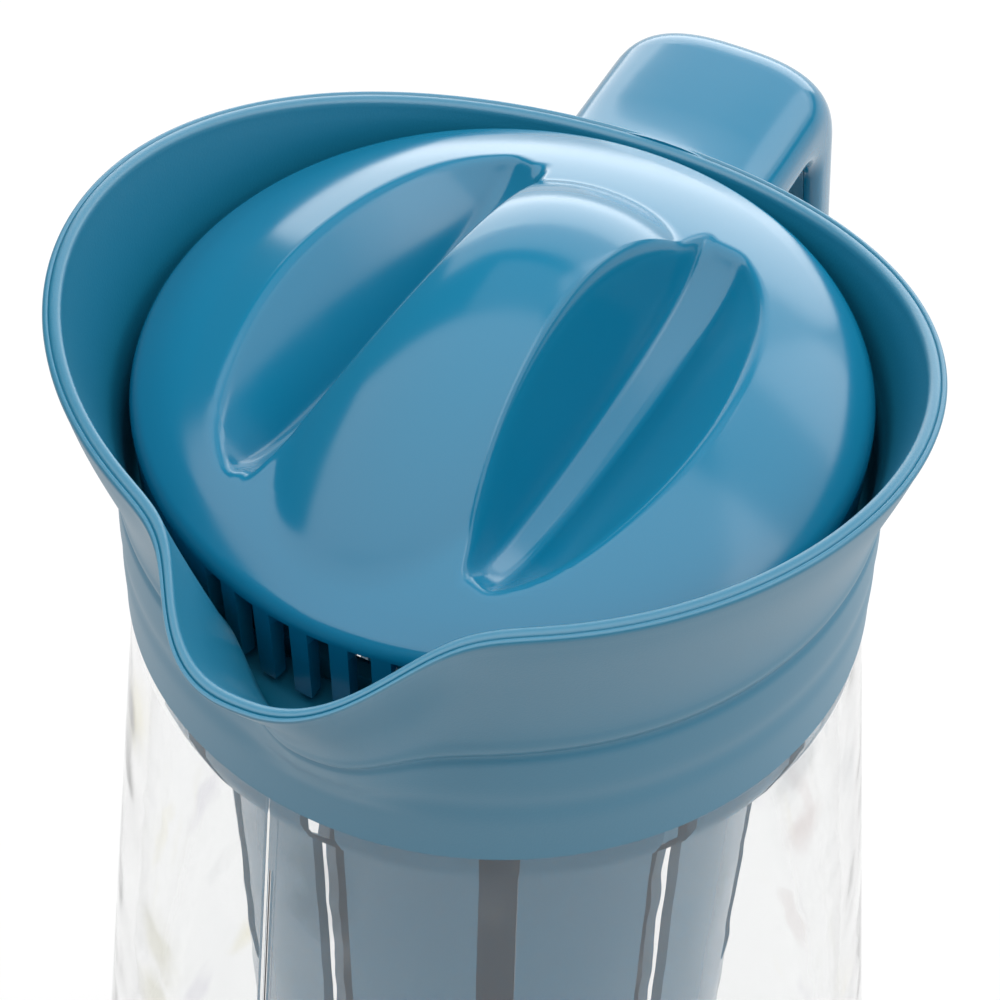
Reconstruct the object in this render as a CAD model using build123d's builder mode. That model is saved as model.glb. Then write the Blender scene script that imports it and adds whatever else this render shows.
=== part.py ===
from build123d import *
import os
from math import acos, cos, degrees, exp, radians, sin, sqrt

# Fruit infuser pitcher: a conical glass jug with a moulded spout collar and strap handle, and a domed
# lid that carries a strainer comb and a slotted infuser tube.
# Frame: origin at the centre of the glass base, +Z up, spout towards -X, handle towards +X. Millimetres.

# Glass jug
COLLAR_Z = 196.0            # height of the collar's lower edge above the base
GLASS_RADIUS = 50.9         # outer radius just under the collar
GLASS_TAPER = 0.0762        # radius gained per millimetre downwards
GLASS_WALL = 3.2
GLASS_FLOOR = 7.0
HEEL_RADIUS = 9.0
NECK_RADIUS = 48.6          # outer radius of the neck inside the collar
NECK_BEAD = 0.7             # the snap bead stands this far out of the neck
BEAD_LOW = 5.0              # heights from the collar's lower edge, as for the collar
BEAD_TOP = 10.4
BEAD_RAMP = 1.2
MOUTH_HEIGHT = 13.6
MOUTH_ROUND = 0.8
SHOULDER_LOW = -0.8         # the outer shoulder hides under the collar's edge
SHOULDER_TOP = -0.2
INNER_SHOULDER_LOW = -6.0
INNER_SHOULDER_TOP = 2.0
INNER_SHOULDER_ROUND = 5.0
RING_MARGIN = 0.3           # the flat seal is narrower than the glass mouth on each side

# Collar, heights from its lower edge
COLLAR_WALL = 2.1
CREASE_HEIGHT = 22.5        # where the band ends and the flared bowl begins
CREASE_STEP = 0.5
LEDGE_LOW = 16.0            # ledge over the glass mouth
LEDGE_TOP = 19.5
THROAT_RADIUS = 43.2        # bore that the lid's plug enters
THROAT_WALL = 1.7
THROAT_DEPTH = 11.0         # how far the throat tube reaches below the ledge
BAND_BORE = 49.8
SNAP_RADIUS = 49.0          # ridge that holds under the neck's bead
SNAP_LOW = 1.4
SNAP_TOP = 5.6
SNAP_RAMP = 1.0
BORE_TOP = 32.0             # low step in the bowl below the lid's edge
RIM_RADIUS = 60.9           # flank radius at the height of the last section
LAST_SECTION = 58.0         # lofts run past the rim and are then cut
SPOUT_REACH = 18.4          # spout tip beyond the flank radius, at the rim's highest point
SPOUT_START = 8.0           # height where the spout's keel leaves the band
SPOUT_SPREAD = 14.6         # angle at which the spout's swell has dropped to 1/e, at the rim
SPOUT_BLUNTNESS = 2.6       # 2 is a bell curve, more makes the nose broader and its sides steeper
SPOUT_NARROWING = 3.2       # the spread is this much less at the crease
SWELL_SPAN = 60             # the swell is drawn over this angle either way, in these steps
SWELL_STEP = 6
RIM_WALL = 2.8              # the wall is thicker at the rim
RIM_PEAK_X = -47.0          # the rim is cut by two arcs seen from the side, which meet at its highest point
RIM_PEAK_Z = 55.1
RIM_FRONT_RADIUS = 140.0
RIM_BACK_RADIUS = 275.0
RIM_ROUND = 0.5

# Handle, a strap drawn in side view: corners of its outer face, as x and height above the collar's edge
STRAP_WIDTH = 32.4
STRAP_DEPTH = 10.5
STRAP_OUTER_ROUND = 7.2
STRAP_INNER_ROUND = 2.5
STRAP_SKIN = 2.3
INSERT_DEPTH = 2.4
INSERT_GAP = 0.1
INSERT_START = 10.0         # along the first run, clear of the collar
HANDLE_START = (48.0, 35.7)
HANDLE_KNEE = (83.9, 32.8)
HANDLE_HEEL = (97.5, -86.0)
HANDLE_END = (68.0, -107.0)
KNEE_ROUND = 9.0            # roundings of the outer face and of the finger side
KNEE_INNER_ROUND = 9.0
HEEL_ROUND = 20.0
HEEL_INNER_ROUND = 10.0
HANDLE_FOOT_WALL = 4.0      # solid end of the strap
TONGUE_WIDTH = 20.0
TONGUE_DEPTH = 4.6
TONGUE_START = 4.0          # along the first run, inside the collar's wall
TONGUE_LENGTH = 14.0

# Lid, heights from the collar's lower edge
LID_TURN = -6.6             # the lid stands turned this far from the spout
LID_RADIUS = 50.0
LID_EDGE_HEIGHT = 37.2
LID_CROWN_HEIGHT = 51.2     # crown of the plain dome
LID_FOOT_HEIGHT = 19.8      # lower edge of the wall, just over the collar's ledge
LID_FOOT_RADIUS = 48.6
LID_WALL = 2.0
LID_EDGE_ROUND = 3.0
RIDGE_TOP = 58.6            # highest point of the grip ridge
RIDGE_TOP_X = 1.0
RIDGE_FRONT_RADIUS = 65.0   # ridge line seen from the side, towards the spout
RIDGE_BACK_RADIUS = 42.0    # and towards the handle
RIDGE_FRONT_SWEEP = 49.0    # degrees of each arc, ending inside the dome
RIDGE_BACK_SWEEP = 60.0
RIDGE_CROSS_RADIUS = 22.0   # rounding of the ridge's back
RIDGE_BLEND = 7.0
SCOOP_X = -5.0
SCOOP_KEEL_Y = 15.9         # lowest line of each scoop, beside the ridge
SCOOP_SPLAY = 2.7           # the scoops draw apart towards the spout, degrees from the ridge
SCOOP_KEEL_HEIGHT = 32.1    # where the two walls would meet
SCOOP_INNER_SLOPE = 75.0    # ridge side, degrees above level
SCOOP_OUTER_SLOPE = 40.0
SCOOP_INNER_RADIUS = 300.0
SCOOP_OUTER_RADIUS = 112.0
SCOOP_LENGTH = 90.0         # each scoop cylinder runs this far either way
SCOOP_KEEL_ROUND = 4.4
SCOOP_EDGE_ROUND = 1.8
COMB_SLOTS = 6
COMB_PITCH = 6.8            # degrees
COMB_SLOT_WIDTH = 3.2
COMB_TOP_HEIGHT = 35.5
COMB_FOOT_HEIGHT = 21.5     # free ends of the bars
RIB_HEIGHT = 33.0           # underside of the inner rib that the liner is welded to
RIB_DEPTH = 1.6
RIB_RADIUS = 44.8
RIB_OUTER_RADIUS = 48.4     # inside the wall's thickness
COMB_CUT_DEPTH = 11.0       # radial length of the cuts, centred on the lid's radius

# Liner, seal and infuser
LINER_RADIUS = 46.6
LINER_DEPTH = 2.0
PLUG_RADIUS = 41.4
PLUG_BORE = 39.0
PLUG_FOOT_HEIGHT = 6.0
SEAL_HEIGHT = 8.5           # lower face of the seal
SEAL_DEPTH = 5.0
SEAL_RADIUS = 42.9
GROOVE_RADIUS = 40.4
SEAL_CLEARANCE = 0.3
SEAL_END_GAP = 0.15
SEAL_LIP = 0.7              # the lips stand this far out of the waist
SEAL_LIP_DEPTH = 1.2
WINDOW_LOW = 20.0
WINDOW_HIGH = 29.0
WINDOW_WIDTH = 52.0
WINDOW_ROUND = 2.5
INFUSER_RADIUS = 40.2       # under the flange
INFUSER_TAPER = 0.045       # radius lost per millimetre below it
INFUSER_WALL = 2.0
INFUSER_TOP_HEIGHT = 17.5
INFUSER_NECK_RADIUS = 38.7
INFUSER_NECK_LOW = 1.5      # where the bore of the neck has run out into the tube's
INFUSER_FOOT_ROUND = 5.0
FLANGE_RADIUS = 41.2        # stop under the plug
FLANGE_LOW = 4.0
FLANGE_TOP = 5.7
INFUSER_BOTTOM_HEIGHT = -158.0
INFUSER_SLOTS = 10
INFUSER_SLOT_PHASE = -10.3  # first slot from the spout, degrees
INFUSER_ROW_TURN = 14.5     # the lower row stands turned this far from the upper one
INFUSER_SLOT_WIDTH = 5.3
INFUSER_SLOT_TOP = -2.0
INFUSER_HOOP_MIDDLE = -76.0
INFUSER_HOOP_DEPTH = 6.0
INFUSER_SLOT_BOTTOM = -146.0
FLOOR_HOLE_RADIUS = 3.0
FLOOR_HOLE_RING = 18.0
FLOOR_HOLES = 8

os.makedirs("parts", exist_ok=True)


def up(height):
    """Height above the base of a height given from the collar's lower edge."""
    return COLLAR_Z + height


def nearest_vertex(builder, x, y):
    """The sketch corner nearest to a place given in the sketch's own plane."""
    return builder.vertices().sort_by_distance((x, y, 0))[0]


def spout_reach(height):
    """How far the spout's keel stands out of the round wall at a height."""
    full_rise = RIM_PEAK_Z - SPOUT_START
    return max(SPOUT_REACH * (height - SPOUT_START) / full_rise, 0.0)


def spout_spread(height):
    """The spout narrows towards its root."""
    return SPOUT_SPREAD - SPOUT_NARROWING * (RIM_PEAK_Z - height) / (RIM_PEAK_Z - CREASE_HEIGHT)


def collar_section(height, radius, reach):
    """Outline of the collar at a height: a circle that swells smoothly into the spout at -X."""
    spread = spout_spread(height)
    front = []
    for angle in range(-SWELL_SPAN, SWELL_SPAN + 1, SWELL_STEP):
        r = radius + reach * exp(-((abs(angle) / spread) ** SPOUT_BLUNTNESS))
        front.append((-r * cos(radians(angle)), r * sin(radians(angle))))
    sideways, along = sin(radians(SWELL_SPAN)), cos(radians(SWELL_SPAN))
    with BuildSketch(Plane.XY.offset(up(height))) as section:
        with BuildLine():
            swell = Spline(*front, tangents=[(-sideways, along), (sideways, along)])
            ThreePointArc(swell @ 1, (radius, 0), swell @ 0)
        make_face()
    return section.sketch


# Outer radius of the collar by height: a plain band, then a bowl that flares to the rim
BAND_RADII = {0.0: 51.7, 12.0: 52.2, CREASE_HEIGHT: 52.2 - CREASE_STEP}
BOWL_RADII = {CREASE_HEIGHT: 52.2, 30.0: 53.0, 38.0: 55.7, 46.0: 58.1, LAST_SECTION: RIM_RADIUS}
BORE_RADII = {LEDGE_TOP: 49.9, 26.0: 50.6, BORE_TOP: 51.3}
FUNNEL_RADII = {BORE_TOP - 0.3: 51.7, 36.0: 52.9, 41.0: 54.4, 47.0: 56.1, LAST_SECTION: RIM_RADIUS - RIM_WALL}
CHANNEL_INSET = 0.6         # the spout's inner reach is this much less, so its wall keeps its thickness
BORE_INSET = 0.1            # less below the step, which so runs out in the spout


def rim_height(x):
    """Height of the rim's arcs, seen from the side."""
    radius = RIM_FRONT_RADIUS if x < RIM_PEAK_X else RIM_BACK_RADIUS
    return RIM_PEAK_Z - radius + sqrt(radius**2 - (x - RIM_PEAK_X) ** 2)


def outer_sections(radii):
    return [collar_section(h, r, spout_reach(h)) for h, r in radii.items()]


def inner_sections(radii, inset):
    return [collar_section(h, r, max(spout_reach(h) - inset, 0.0)) for h, r in radii.items()]


# Glass jug: one turned wall from the flat base to the beaded neck
base_radius = GLASS_RADIUS + GLASS_TAPER * COLLAR_Z
inner_base = base_radius - GLASS_TAPER * GLASS_FLOOR - GLASS_WALL
inner_shoulder = GLASS_RADIUS - GLASS_TAPER * INNER_SHOULDER_LOW - GLASS_WALL
neck_bore = NECK_RADIUS - GLASS_WALL
with BuildPart() as glass_jug:
    with BuildSketch(Plane.XZ) as glass_profile:
        with BuildLine():
            Polyline(
                (0, 0),
                (base_radius, 0),
                (GLASS_RADIUS, up(SHOULDER_LOW)),
                (NECK_RADIUS, up(SHOULDER_TOP)),
                (NECK_RADIUS, up(BEAD_LOW)),
                (NECK_RADIUS + NECK_BEAD, up(BEAD_LOW + BEAD_RAMP)),
                (NECK_RADIUS + NECK_BEAD, up(BEAD_TOP - BEAD_RAMP)),
                (NECK_RADIUS, up(BEAD_TOP)),
                (NECK_RADIUS, up(MOUTH_HEIGHT)),
                (neck_bore, up(MOUTH_HEIGHT)),
                (neck_bore, up(INNER_SHOULDER_TOP)),
                (inner_shoulder, up(INNER_SHOULDER_LOW)),
                (inner_base, GLASS_FLOOR),
                (0, GLASS_FLOOR),
                close=True,
            )
        make_face()
        fillet(nearest_vertex(glass_profile, base_radius, 0), HEEL_RADIUS)
        fillet(nearest_vertex(glass_profile, inner_base, GLASS_FLOOR), HEEL_RADIUS)
        fillet(nearest_vertex(glass_profile, neck_bore, up(INNER_SHOULDER_TOP)), INNER_SHOULDER_ROUND)
        fillet(nearest_vertex(glass_profile, inner_shoulder, up(INNER_SHOULDER_LOW)), INNER_SHOULDER_ROUND)
        fillet(nearest_vertex(glass_profile, neck_bore, up(MOUTH_HEIGHT)), MOUTH_ROUND)
    revolve(axis=Axis.Z)
glass_jug.part.label = "glass_jug"
export_step(glass_jug.part, "parts/glass_jug.step")

# Flat ring between the glass mouth and the collar's ledge
with BuildPart() as collar_seal:
    with BuildSketch(Plane.XY.offset(up(MOUTH_HEIGHT))):
        Circle(NECK_RADIUS - RING_MARGIN)
        Circle(neck_bore + RING_MARGIN, mode=Mode.SUBTRACT)
    extrude(amount=LEDGE_LOW - MOUTH_HEIGHT)
collar_seal.part.label = "collar_seal"
export_step(collar_seal.part, "parts/collar_seal.step")

# Full outer form of the collar, before it is hollowed: the band and the flared bowl with its spout
with BuildPart() as collar_form:
    loft(outer_sections(BAND_RADII))
    loft(outer_sections(BOWL_RADII))

# Straight runs of the handle strap in the plane of symmetry, each with the direction into the strap
handle_corners = [Vector(x, up(h)) for x, h in (HANDLE_START, HANDLE_KNEE, HANDLE_HEEL, HANDLE_END)]
runs = [(b - a).normalized() for a, b in zip(handle_corners, handle_corners[1:])]
inward = [Vector(run.Y, -run.X) for run in runs]
strap_middle = handle_corners[0] + inward[0] * (STRAP_DEPTH / 2)
strap_plane = Plane(
    origin=(strap_middle.X, 0, strap_middle.Y),
    x_dir=(0, 1, 0),
    z_dir=(runs[0].X, 0, runs[0].Y),
)


def strap_line(depth, rounds, begin=0.0, stop=0.0):
    """The strap's side view at a depth under its outer face, drawn back from either end."""
    start = handle_corners[0] + inward[0] * depth + runs[0] * begin
    knee = handle_corners[1] + (inward[0] + inward[1]) * (depth / (1 + inward[0].dot(inward[1])))
    heel = handle_corners[2] + (inward[1] + inward[2]) * (depth / (1 + inward[1].dot(inward[2])))
    end = handle_corners[3] + inward[2] * depth - runs[2] * stop
    return FilletPolyline(start, knee, heel, end, radius=rounds)


def strap_layer(top, bottom, begin=0.0, stop=0.0):
    """Side view of the strap between two lines, each given by its depth and the roundings of its bends."""
    with BuildSketch(Plane.XZ) as layer:
        with BuildLine():
            upper = strap_line(*top, begin, stop)
            lower = strap_line(*bottom, begin, stop)
            Line(upper @ 0, lower @ 0)
            Line(upper @ 1, lower @ 1)
        make_face()
    return layer.sketch


def strap_depth(edge):
    """Depth of an edge's middle under the strap's outer face."""
    middle = edge @ 0.5
    place = Vector(middle.X, middle.Z)
    return min((place - corner).dot(way) for corner, way in zip(handle_corners, inward))


outer_face = (0, [KNEE_ROUND, HEEL_ROUND])
under_skin = (STRAP_SKIN, [KNEE_ROUND - STRAP_SKIN, HEEL_ROUND - STRAP_SKIN])
over_insert = (STRAP_DEPTH - INSERT_DEPTH, [KNEE_INNER_ROUND + INSERT_DEPTH, HEEL_INNER_ROUND + INSERT_DEPTH])
finger_face = (STRAP_DEPTH, [KNEE_INNER_ROUND, HEEL_INNER_ROUND])

# Collar: snap band, ledge, throat, bowl with spout, and the tongue that holds the handle
with BuildPart() as collar:
    add(collar_form.part)
    with BuildSketch(Plane.XZ):
        with BuildLine():
            Polyline(
                (0, up(-1)),
                (BAND_BORE, up(-1)),
                (BAND_BORE, up(SNAP_LOW)),
                (SNAP_RADIUS, up(SNAP_LOW + SNAP_RAMP)),
                (SNAP_RADIUS, up(SNAP_TOP - SNAP_RAMP)),
                (BAND_BORE, up(SNAP_TOP)),
                (BAND_BORE, up(LEDGE_LOW)),
                (THROAT_RADIUS + THROAT_WALL, up(LEDGE_LOW)),
                (THROAT_RADIUS + THROAT_WALL, up(LEDGE_LOW - THROAT_DEPTH)),
                (THROAT_RADIUS, up(LEDGE_LOW - THROAT_DEPTH)),
                (THROAT_RADIUS, up(LEDGE_TOP + 1)),
                (0, up(LEDGE_TOP + 1)),
                close=True,
            )
        make_face()
    revolve(axis=Axis.Z, mode=Mode.SUBTRACT)
    loft(inner_sections(BORE_RADII, BORE_INSET), mode=Mode.SUBTRACT)
    loft(inner_sections(FUNNEL_RADII, CHANNEL_INSET), mode=Mode.SUBTRACT)
    # The rim falls from its highest point to the spout's tip and to the handle
    with BuildSketch(Plane.XZ):
        with BuildLine():
            reach = RIM_RADIUS + SPOUT_REACH + 10
            left = (-reach, up(rim_height(-reach)))
            right = (reach, up(rim_height(reach)))
            peak = (RIM_PEAK_X, up(RIM_PEAK_Z))
            TangentArc(peak, left, tangent=(-1, 0))
            TangentArc(peak, right, tangent=(1, 0))
            Polyline(right, (reach, up(LAST_SECTION + 5)), (-reach, up(LAST_SECTION + 5)), left)
        make_face()
    extrude(amount=reach, both=True, mode=Mode.SUBTRACT)
    fillet(collar.edges(Select.NEW), RIM_ROUND)
    with BuildSketch(strap_plane.offset(TONGUE_START)):
        Rectangle(TONGUE_WIDTH, TONGUE_DEPTH)
    extrude(amount=TONGUE_LENGTH)
collar.part.label = "collar"
export_step(collar.part, "parts/collar.step")

# Handle: an outer strap with a channel in it, and the strip that closes the channel
with BuildPart() as handle_shell:
    extrude(strap_layer(outer_face, finger_face), amount=STRAP_WIDTH / 2, both=True)
    side_edges = handle_shell.faces().filter_by(Axis.Y).edges()
    fillet(side_edges.filter_by(lambda edge: strap_depth(edge) < STRAP_DEPTH / 3), STRAP_OUTER_ROUND)
    side_edges = handle_shell.faces().filter_by(Axis.Y).edges()
    fillet(side_edges.filter_by(lambda edge: strap_depth(edge) > STRAP_DEPTH - 0.1), STRAP_INNER_ROUND)
    extrude(
        strap_layer(under_skin, finger_face, stop=HANDLE_FOOT_WALL),
        amount=STRAP_WIDTH / 2 - STRAP_SKIN,
        both=True,
        mode=Mode.SUBTRACT,
    )
    add(collar_form.part, mode=Mode.SUBTRACT)
handle_shell.part.label = "handle_shell"
export_step(handle_shell.part, "parts/handle_shell.step")

with BuildPart() as handle_insert:
    extrude(
        strap_layer(over_insert, finger_face, begin=INSERT_START, stop=HANDLE_FOOT_WALL),
        amount=STRAP_WIDTH / 2 - STRAP_SKIN - INSERT_GAP,
        both=True,
    )
handle_insert.part.label = "handle_insert"
export_step(handle_insert.part, "parts/handle_insert.step")


def dome_form(inset):
    """The lid's dome and wall as a turned solid, drawn in by a wall thickness."""
    crown = LID_CROWN_HEIGHT - inset
    with BuildPart() as dome:
        with BuildSketch(Plane.XZ) as half:
            with BuildLine():
                wall_top = (LID_RADIUS - inset, up(LID_EDGE_HEIGHT - inset / 2))
                foot = (LID_FOOT_RADIUS - inset, up(LID_FOOT_HEIGHT))
                TangentArc((0, up(crown)), wall_top, tangent=(1, 0))
                Polyline(wall_top, foot, (0, up(LID_FOOT_HEIGHT)), (0, up(crown)))
            make_face()
            fillet(nearest_vertex(half, *wall_top), LID_EDGE_ROUND)
        revolve(axis=Axis.Z)
    return dome.part


def lies_on_dome(edge):
    """Whether an edge lies on the ball of the dome's top, inside its rounded border."""
    drop = LID_CROWN_HEIGHT - LID_EDGE_HEIGHT
    ball_radius = (LID_RADIUS**2 + drop**2) / (2 * drop)
    middle = edge @ 0.5
    from_ball = (middle - Vector(0, 0, up(LID_CROWN_HEIGHT) - ball_radius)).length - ball_radius
    return abs(from_ball) < 0.05 and Vector(middle.X, middle.Y).length < LID_RADIUS - LID_EDGE_ROUND


def ridge_form(inset):
    """The grip ridge: a round-backed bar along two arcs, steeper towards the handle than the spout."""
    top = up(RIDGE_TOP)
    front, back = RIDGE_FRONT_RADIUS, RIDGE_BACK_RADIUS
    with BuildPart() as ridge:
        with BuildLine(Plane.XZ) as spine:
            CenterArc((RIDGE_TOP_X, top - front), front - inset, 90, RIDGE_FRONT_SWEEP)
            CenterArc((RIDGE_TOP_X, top - back), back - inset, 90, -RIDGE_BACK_SWEEP)
        across = Plane(origin=(RIDGE_TOP_X, 0, top - inset), x_dir=(0, 1, 0), z_dir=(1, 0, 0))
        with BuildSketch(across):
            with BuildLine():
                cross = RIDGE_CROSS_RADIUS - inset
                low = CenterArc((0, -cross), cross, 0, 180)
                Line(low @ 0, low @ 1)
            make_face()
        sweep(path=spine.wire())
    return ridge.part


def scoop_form(outset):
    """One finger scoop: where two tilted cylinders cross, one for each of its walls."""
    keel = (SCOOP_X, SCOOP_KEEL_Y, up(SCOOP_KEEL_HEIGHT))
    inner_way = (0, -cos(radians(SCOOP_INNER_SLOPE)), sin(radians(SCOOP_INNER_SLOPE)))
    outer_way = (0, -cos(radians(SCOOP_OUTER_SLOPE)), -sin(radians(SCOOP_OUTER_SLOPE)))
    with BuildPart() as scoop:
        with BuildSketch(Plane(origin=keel, x_dir=(1, 0, 0), z_dir=inner_way)):
            with Locations((0, SCOOP_INNER_RADIUS)):
                Circle(SCOOP_INNER_RADIUS + outset)
        extrude(amount=SCOOP_LENGTH, both=True)
        with BuildSketch(Plane(origin=keel, x_dir=(1, 0, 0), z_dir=outer_way)):
            with Locations((0, SCOOP_OUTER_RADIUS)):
                Circle(SCOOP_OUTER_RADIUS + outset)
        extrude(amount=SCOOP_LENGTH, both=True, mode=Mode.INTERSECT)
        fillet(scoop.edges().sort_by_distance(keel)[0], SCOOP_KEEL_ROUND + outset)
    return scoop.part.rotate(Axis(keel, (0, 0, 1)), -SCOOP_SPLAY)


# Lid cap: dome, ridge and scoops over a wall that ends in the strainer comb
with BuildPart() as lid_hollow:
    add(dome_form(LID_WALL))
    add(ridge_form(LID_WALL))
    scoop_outside = scoop_form(LID_WALL)
    add(scoop_outside, mode=Mode.SUBTRACT)
    mirror(scoop_outside, about=Plane.XZ, mode=Mode.SUBTRACT)

with BuildPart() as lid_cap:
    add(dome_form(0))
    add(ridge_form(0))
    fillet(lid_cap.edges().filter_by(lies_on_dome), RIDGE_BLEND)
    near_scoop = scoop_form(0)
    for scoop in (near_scoop, near_scoop.mirror(Plane.XZ)):
        add(scoop, mode=Mode.SUBTRACT)
        fillet(lid_cap.edges(Select.NEW), SCOOP_EDGE_ROUND)
    add(lid_hollow.part, mode=Mode.SUBTRACT)
    # Rib inside the wall that the liner is welded to
    with BuildSketch(Plane.XY.offset(up(RIB_HEIGHT))):
        Circle(RIB_OUTER_RADIUS)
        Circle(RIB_RADIUS, mode=Mode.SUBTRACT)
    extrude(amount=RIB_DEPTH)
    # Strainer comb: slots through the wall, open at the foot, between bars with free ends
    comb_span = COMB_PITCH * (COMB_SLOTS - 1)
    with BuildSketch(Plane.XY.offset(up(COMB_TOP_HEIGHT))):
        with PolarLocations(LID_RADIUS, COMB_SLOTS, 180 - comb_span / 2, comb_span, endpoint=True):
            Rectangle(COMB_CUT_DEPTH, COMB_SLOT_WIDTH)
    extrude(amount=LID_FOOT_HEIGHT - COMB_TOP_HEIGHT, mode=Mode.SUBTRACT)
    with BuildSketch(Plane.XY.offset(up(COMB_FOOT_HEIGHT))):
        with Locations((-LID_RADIUS, 0)):
            Rectangle(2 * COMB_CUT_DEPTH, 2 * LID_RADIUS * sin(radians(comb_span / 2)))
    extrude(amount=LID_FOOT_HEIGHT - COMB_FOOT_HEIGHT, mode=Mode.SUBTRACT)
lid_cap.part.label = "lid_cap"
export_step(lid_cap.part.rotate(Axis.Z, LID_TURN), "parts/lid_cap.step")

# Liner: the disc under the dome, with the plug ring that carries the seal and the infuser
with BuildPart() as lid_liner:
    with BuildSketch(Plane.XY.offset(up(RIB_HEIGHT))):
        Circle(LINER_RADIUS)
    extrude(amount=-LINER_DEPTH)
    with BuildSketch(Plane.XY.offset(up(PLUG_FOOT_HEIGHT))):
        Circle(PLUG_RADIUS)
        Circle(PLUG_BORE, mode=Mode.SUBTRACT)
    extrude(amount=RIB_HEIGHT - LINER_DEPTH - PLUG_FOOT_HEIGHT)
    with BuildSketch(Plane.XY.offset(up(SEAL_HEIGHT - SEAL_END_GAP))):
        Circle(PLUG_RADIUS + 1)
        Circle(GROOVE_RADIUS, mode=Mode.SUBTRACT)
    extrude(amount=SEAL_DEPTH + 2 * SEAL_END_GAP, mode=Mode.SUBTRACT)
    # Window in the plug ring, towards the comb
    with BuildSketch(Plane.YZ):
        with Locations((0, up((WINDOW_LOW + WINDOW_HIGH) / 2))):
            RectangleRounded(WINDOW_WIDTH, WINDOW_HIGH - WINDOW_LOW, WINDOW_ROUND)
    extrude(amount=-LID_RADIUS, mode=Mode.SUBTRACT)
lid_liner.part.label = "lid_liner"
export_step(lid_liner.part.rotate(Axis.Z, LID_TURN), "parts/lid_liner.step")

# Seal in the plug's groove: two lips with a waist between them
with BuildPart() as lid_seal:
    with BuildSketch(Plane.XZ) as seal_profile:
        with BuildLine():
            bore = GROOVE_RADIUS + SEAL_CLEARANCE
            waist = SEAL_RADIUS - SEAL_LIP
            seal_top = SEAL_HEIGHT + SEAL_DEPTH
            Polyline(
                (bore, up(SEAL_HEIGHT)),
                (SEAL_RADIUS, up(SEAL_HEIGHT)),
                (SEAL_RADIUS, up(SEAL_HEIGHT + SEAL_LIP_DEPTH)),
                (waist, up(SEAL_HEIGHT + SEAL_LIP_DEPTH + SEAL_LIP)),
                (waist, up(seal_top - SEAL_LIP_DEPTH - SEAL_LIP)),
                (SEAL_RADIUS, up(seal_top - SEAL_LIP_DEPTH)),
                (SEAL_RADIUS, up(seal_top)),
                (bore, up(seal_top)),
                close=True,
            )
        make_face()
    revolve(axis=Axis.Z)
lid_seal.part.label = "lid_seal"
export_step(lid_seal.part, "parts/lid_seal.step")

# Infuser: a tapered tube with a neck in the plug, a stop flange, two staggered rows of slots and a pierced floor
foot_radius = INFUSER_RADIUS - INFUSER_TAPER * (FLANGE_LOW - INFUSER_BOTTOM_HEIGHT)
slot_rows = [
    (INFUSER_SLOT_TOP, INFUSER_HOOP_MIDDLE + INFUSER_HOOP_DEPTH / 2),
    (INFUSER_HOOP_MIDDLE - INFUSER_HOOP_DEPTH / 2, INFUSER_SLOT_BOTTOM),
]
with BuildPart() as infuser_tube:
    with BuildSketch(Plane.XZ) as tube_profile:
        with BuildLine():
            Polyline(
                (0, up(INFUSER_BOTTOM_HEIGHT)),
                (foot_radius, up(INFUSER_BOTTOM_HEIGHT)),
                (INFUSER_RADIUS, up(FLANGE_LOW)),
                (FLANGE_RADIUS, up(FLANGE_LOW)),
                (FLANGE_RADIUS, up(FLANGE_TOP)),
                (INFUSER_NECK_RADIUS, up(FLANGE_TOP)),
                (INFUSER_NECK_RADIUS, up(INFUSER_TOP_HEIGHT)),
                (INFUSER_NECK_RADIUS - INFUSER_WALL, up(INFUSER_TOP_HEIGHT)),
                (INFUSER_NECK_RADIUS - INFUSER_WALL, up(FLANGE_LOW)),
                (INFUSER_RADIUS - INFUSER_WALL, up(INFUSER_NECK_LOW)),
                (foot_radius - INFUSER_WALL, up(INFUSER_BOTTOM_HEIGHT + INFUSER_WALL)),
                (0, up(INFUSER_BOTTOM_HEIGHT + INFUSER_WALL)),
                close=True,
            )
        make_face()
        fillet(nearest_vertex(tube_profile, foot_radius, up(INFUSER_BOTTOM_HEIGHT)), INFUSER_FOOT_ROUND)
        inner_corner = (foot_radius - INFUSER_WALL, up(INFUSER_BOTTOM_HEIGHT + INFUSER_WALL))
        fillet(nearest_vertex(tube_profile, *inner_corner), INFUSER_FOOT_ROUND - INFUSER_WALL)
    revolve(axis=Axis.Z)
    for row, (top, bottom) in enumerate(slot_rows):
        for index in range(INFUSER_SLOTS):
            angle = radians(180 + INFUSER_SLOT_PHASE + row * INFUSER_ROW_TURN + index * 360 / INFUSER_SLOTS)
            middle = Plane(
                origin=(0, 0, up((top + bottom) / 2)),
                x_dir=(0, 0, 1),
                z_dir=(cos(angle), sin(angle), 0),
            )
            with BuildSketch(middle):
                SlotOverall(top - bottom, INFUSER_SLOT_WIDTH)
    extrude(amount=INFUSER_RADIUS + INFUSER_WALL, mode=Mode.SUBTRACT)
    with BuildSketch(Plane.XY.offset(up(INFUSER_BOTTOM_HEIGHT))):
        Circle(FLOOR_HOLE_RADIUS)
        with PolarLocations(FLOOR_HOLE_RING, FLOOR_HOLES):
            Circle(FLOOR_HOLE_RADIUS)
    extrude(amount=INFUSER_WALL, mode=Mode.SUBTRACT)
infuser_tube.part.label = "infuser_tube"
export_step(infuser_tube.part, "parts/infuser_tube.step")
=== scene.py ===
import math

import bmesh
import bpy
import numpy as np
from mathutils import Matrix, Vector


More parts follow.
